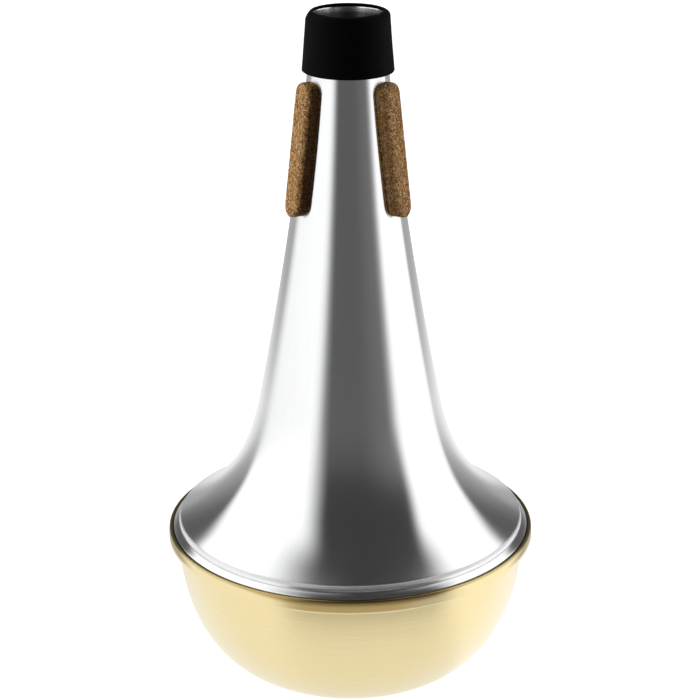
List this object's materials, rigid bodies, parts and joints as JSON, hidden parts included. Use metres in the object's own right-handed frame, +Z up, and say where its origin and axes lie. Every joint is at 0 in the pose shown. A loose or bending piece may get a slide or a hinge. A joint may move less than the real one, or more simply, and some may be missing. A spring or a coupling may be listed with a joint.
{
  "type": "trombone straight mute",
  "caption": "Trombone straight mute: flared spun aluminium shell closed by a bowl-shaped brass bottom, with a black neck sleeve and cork strips.",
  "frame": {"origin": "centre of the flat that the brass bottom stands on", "axes": "+Z up the mute's axis, from the flat to the open mouth; the two corks that the picture shows are towards -Y, to the left (-X) and right (+X), and the third is at +Y"},
  "size_m": [0.135, 0.135, 0.2457],
  "materials": {
    "aluminium": "spun, fine circumferential lines, bright satin",
    "brass": "spun, pale satin",
    "rubber": "matte black",
    "cork": "bare agglomerated cork, sanded"
  },
  "bodies": {
    "root": {"aluminium_body": "aluminium", "brass_bottom": "brass", "neck_sleeve": "rubber", "cork_strip_left": "cork", "cork_strip_right": "cork", "cork_strip_rear": "cork"}
  },
  "joints": []
}
